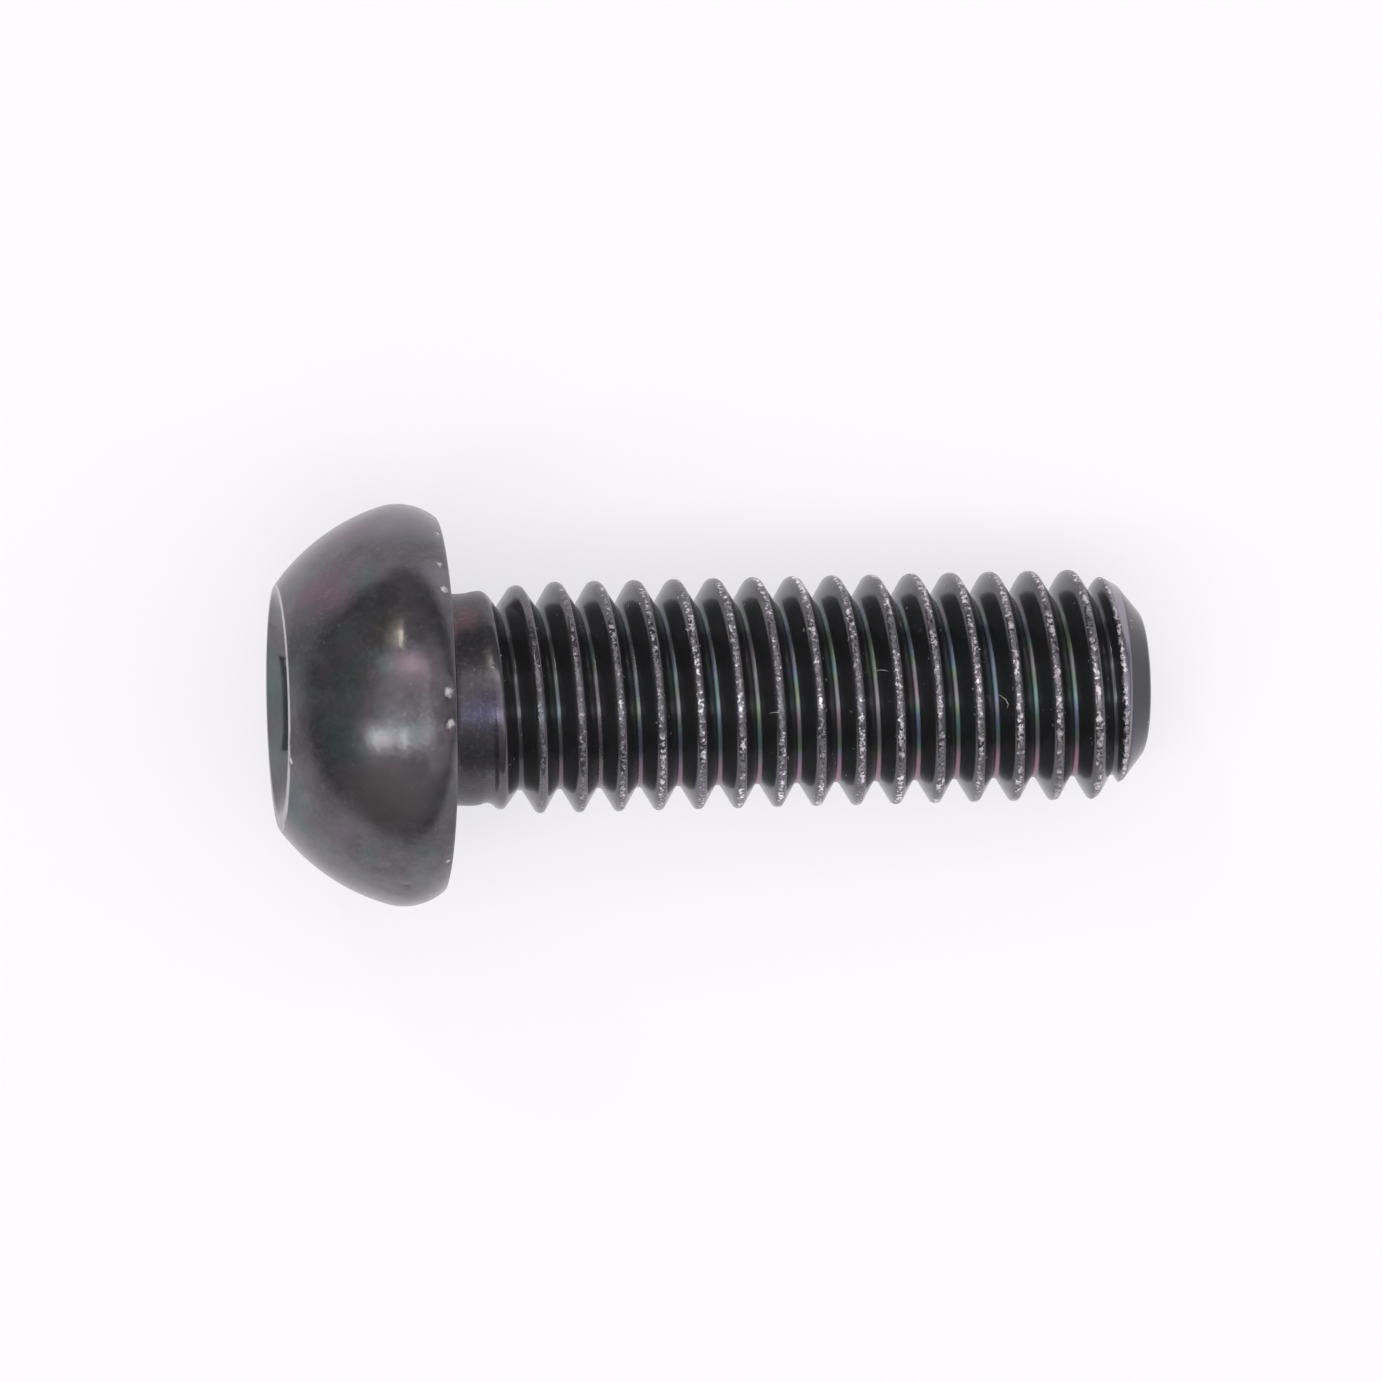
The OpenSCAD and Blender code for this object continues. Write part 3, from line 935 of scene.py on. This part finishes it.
class SCREW_OT_screw(bpy.types.Operator):
    """Build the screw: head with its socket, neck, rolled thread and tip, as one closed piece"""
    bl_idname = "screw_maker.screw"
    bl_label = "Screw"

    def execute(self, context):
        head, thread = context.scene.screw_head, context.scene.screw_thread
        material = black_oxide(context.scene.screw_finish, head)
        rolled = rolled_thread(thread, material)
        bm = bmesh.new()
        bm.from_mesh(rolled)
        bpy.data.meshes.remove(rolled)
        drop = bm.verts.layers.float["crest_drop"]
        lint = bm.verts.layers.float.new("lint")
        rolled_count = len(bm.verts)
        rings, middle_z = head_rings(head, thread, thread.columns)
        inner = skin(bm, rings)[0]
        centre = bm.verts.new((0.0, 0.0, middle_z))
        for i, vert in enumerate(inner):
            bm.faces.new((inner[(i + 1) % len(inner)], vert, centre))
        outer = skin(bm, tip_rings(thread, thread.columns))[-1]
        end = bm.verts.new((0.0, 0.0, thread.end_at))
        for i, vert in enumerate(outer):
            bm.faces.new((vert, outer[(i + 1) % len(outer)], end))
        bm.verts.ensure_lookup_table()
        for vert in bm.verts[rolled_count:]:
            vert[drop] = OFF_THREAD
        bmesh.ops.remove_doubles(bm, verts=bm.verts, dist=SEAM)
        add_fibres(bm, thread, lint)
        bmesh.ops.recalc_face_normals(bm, faces=bm.faces)
        bm.transform(shank_to_row())
        bm.normal_update()
        # the head's own points are off the thread and the lint, and near the head
        dent({v: v.normal.copy() for v in bm.verts
              if v[drop] >= OFF_THREAD and not v[lint] and v.co.x < DENTS_UNTIL * MM})
        open_edges = sum(1 for e in bm.edges if not e.is_manifold)
        if open_edges:
            raise RuntimeError(f"the screw has {open_edges} open edges")
        mesh = bpy.data.meshes.new("machine_screw")
        bm.to_mesh(mesh)
        bm.free()
        mesh.materials.clear()
        mesh.materials.append(material)
        for face in mesh.polygons:
            face.use_smooth = True
            face.material_index = 0
        screw = bpy.data.objects.new("machine_screw", mesh)
        context.scene.collection.objects.link(screw)
        print("screw triangles", sum(len(f.vertices) - 2 for f in mesh.polygons))
        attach(screw, BODY)
        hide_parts(NODE)
        return {"FINISHED"}


# Stage

# lamps: direction from the screw, degrees along X and across as seen from it, level, colour
LAMPS = {
    "front_tube": ((0.0, -0.31, 0.95), 86, 13, 0.2, (0.96, 0.94, 1.0)),
    "back_tube": ((-0.05, 0.41, 0.91), 66, 11, 0.11, (1.0, 0.94, 0.96)),
    "wide_top": ((-0.05, 0.03, 0.99), 70, 42, 0.14, (0.98, 0.95, 0.98)),
    "front_spot": ((-0.34, -0.32, 0.885), 9, 8, 0.028, (0.96, 0.94, 1.0)),
    "side_spot": ((-0.59, -0.3, 0.745), 10, 8, 0.03, (0.94, 0.96, 1.0)),
    "back_spot": ((-0.33, 0.61, 0.72), 4, 5, 0.04, (1.0, 0.96, 0.8)),
    "tip_side": ((0.7, -0.06, 0.71), 62, 66, 0.15, (0.97, 0.95, 1.0)),
    "fill": ((-0.05, -0.3, 0.95), 50, 50, 0.24, (1.0, 0.98, 0.99)),
}
DULL_ONLY = "fill"  # the lamp that dull surfaces see and polished ones don't
LAMP_AWAY = 0.5  # metres from the screw's middle to every lamp
SCREW_MIDDLE = Vector((0.006, 0.0, 0.0))
FLOOR_HALF = 1.5  # metres from the floor's middle to its sides
ROOM_COLOUR = (0.95, 0.94, 1.0, 1.0)
HORIZON = (0.14, 0.06)  # how high the sky has none of the floor's white, and all of it
SENSOR = 36.0  # mm
IMAGE_SIDE = 1382  # pixels
CLIP = (0.01, 10.0)  # metres


def lamp(name, direction, wide, deep, level, rgb):
    """A flat oval lamp over the screw. It lights an upward white surface to its level."""
    data = bpy.data.lights.new(name, "AREA")
    data.shape = "ELLIPSE"
    data.size = 2 * LAMP_AWAY * math.tan(math.radians(wide / 2))
    data.size_y = 2 * LAMP_AWAY * math.tan(math.radians(deep / 2))
    data.color = rgb
    area = data.size * data.size_y * math.pi / 4
    out = Vector(direction).normalized()
    # a white face lit by a lamp of radiance b shows b * area * cosine / (away^2 * pi)
    radiance = level * math.pi * LAMP_AWAY ** 2 / (area * out.z)
    data.energy = radiance * area * math.pi
    side = (Vector((1, 0, 0)) - out * out.x).normalized()
    made = bpy.data.objects.new(name, data)
    made.matrix_world = Matrix.Translation(SCREW_MIDDLE + out * LAMP_AWAY) @ Matrix(
        (side, out.cross(side), out)).transposed().to_4x4()
    made.visible_glossy = name != DULL_ONLY
    bpy.context.scene.collection.objects.link(made)


def seen_or_mirrored(sums):
    """1 for what the camera sees, straight or in metal or glass, and 0 for what lights dull
    surfaces."""
    path = sums.node("ShaderNodeLightPath")
    return sums.do("MAXIMUM", path.outputs["Is Camera Ray"], sums.do(
        "MAXIMUM", path.outputs["Is Glossy Ray"], path.outputs["Is Transmission Ray"]))


def floor_material(stage):
    """A pale floor: it shows white to the eye and in metal, and keeps the screw's shadow."""
    material = bpy.data.materials.new("pale_floor")
    material.use_nodes = True
    tree = material.node_tree
    tree.nodes.clear()
    sums = Sums(tree)
    lit = sums.node("ShaderNodeBsdfDiffuse")
    lit.inputs["Color"].default_value = (*stage.floor_colour, 1.0)
    glow = sums.node("ShaderNodeEmission")
    glow.inputs["Color"].default_value = (*stage.floor_white, 1.0)
    both = sums.node("ShaderNodeMixShader")
    sums.plug(both.inputs["Fac"], sums.times(seen_or_mirrored(sums), stage.floor_glow))
    sums.plug(both.inputs[1], lit.outputs[0])
    sums.plug(both.inputs[2], glow.outputs[0])
    out = sums.node("ShaderNodeOutputMaterial")
    sums.plug(out.inputs["Surface"], both.outputs[0])
    return material


class SCREW_OT_stage(bpy.types.Operator):
    """Set the pale floor, the lamps, the room and the camera above the screw"""
    bl_idname = "screw_maker.stage"
    bl_label = "Stage"

    def execute(self, context):
        stage = context.scene.screw_stage
        floor_z = cad_box[0][2]
        bm = bmesh.new()
        bmesh.ops.create_grid(bm, x_segments=1, y_segments=1, size=FLOOR_HALF)
        bm.transform(Matrix.Translation((0.0, 0.0, floor_z)))
        mesh = bpy.data.meshes.new("pale_floor")
        bm.to_mesh(mesh)
        bm.free()
        mesh.materials.append(floor_material(stage))
        ground = bpy.data.objects.new("pale_floor", mesh)
        context.scene.collection.objects.link(ground)

        for name, values in LAMPS.items():
            lamp(name, *values)

        world = bpy.data.worlds.new("room")
        world.use_nodes = True
        context.scene.world = world
        sums = Sums(world.node_tree)
        room = world.node_tree.nodes["Background"]
        room.inputs["Color"].default_value = ROOM_COLOUR
        # the room is darkest at its walls
        sky = sums.node("ShaderNodeSeparateXYZ")
        sums.plug(sky.inputs[0], sums.node("ShaderNodeTexCoord").outputs["Generated"])
        glow = sums.add(stage.walls, sums.times(
            sums.do("MAXIMUM", sky.outputs[2], 0.0), stage.ceiling - stage.walls))
        # at the horizon the floor's white goes on
        white = sums.times(seen_or_mirrored(sums), sums.ramp(sky.outputs[2], *HORIZON))
        sums.plug(room.inputs["Strength"], sums.do("MAXIMUM", glow, white))

        data = bpy.data.cameras.new("camera")
        data.sensor_width = SENSOR
        data.lens = SENSOR * stage.pixels_per_mm * stage.camera_over / MM / IMAGE_SIDE
        data.clip_start, data.clip_end = CLIP
        camera = bpy.data.objects.new("camera", data)
        camera.location = (stage.camera_x, stage.camera_y, stage.camera_plane + stage.camera_over)
        camera.rotation_euler = (0.0, 0.0, -stage.camera_turn)
        context.scene.collection.objects.link(camera)
        context.scene.camera = camera
        context.scene.view_settings.view_transform = "Standard"
        return {"FINISHED"}


class SCREW_PT_panel(bpy.types.Panel):
    """Lists the screw's parts and their sizes"""
    bl_idname = "SCREW_PT_panel"
    bl_label = "Button-head screw"
    bl_space_type = "VIEW_3D"
    bl_region_type = "UI"
    bl_category = "Screw"

    def draw(self, context):
        layout = self.layout
        for operator in OPERATORS:
            layout.operator(operator.bl_idname)
        for name, group in SETTINGS.items():
            box = layout.box()
            box.label(text=group.__name__)
            for key in group.__annotations__:
                box.prop(getattr(context.scene, name), key)


OPERATORS = (SCREW_OT_screw, SCREW_OT_stage)
CLASSES = (*SETTINGS.values(), *OPERATORS, SCREW_PT_panel)


def register():
    for cls in CLASSES:
        bpy.utils.register_class(cls)
    for name, group in SETTINGS.items():
        setattr(bpy.types.Scene, name, PointerProperty(type=group))


def unregister():
    for name in SETTINGS:
        delattr(bpy.types.Scene, name)
    for cls in reversed(CLASSES):
        bpy.utils.unregister_class(cls)


def main():
    register()
    bpy.ops.screw_maker.screw()
    bpy.ops.screw_maker.stage()


if __name__ == "__main__":
    main()
